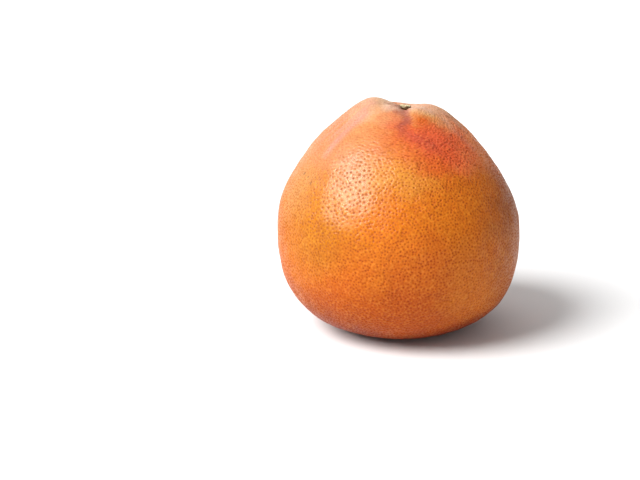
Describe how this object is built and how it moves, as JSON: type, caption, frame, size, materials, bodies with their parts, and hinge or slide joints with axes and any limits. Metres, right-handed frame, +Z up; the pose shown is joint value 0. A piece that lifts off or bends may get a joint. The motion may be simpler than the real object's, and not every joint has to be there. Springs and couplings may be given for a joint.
{
  "type": "grapefruit",
  "caption": "Whole ripe grapefruit with a pitted orange and pink rind, sloping lobed shoulders, a small resting flat and a dry stem button.",
  "frame": {"origin": "centre of the flat spot that the fruit rests on", "axes": "+Z up to the stem end, -Y the front of the fruit, +X its right-hand side seen from the front"},
  "size_m": [0.1078, 0.108, 0.102],
  "materials": {
    "rind": "waxy satin orange rind with a pink blush and fine oil-gland pits",
    "dry_stem": "matt dry khaki and brown"
  },
  "bodies": {
    "root": {"fruit": "rind", "stem_button": "dry_stem"}
  },
  "joints": []
}
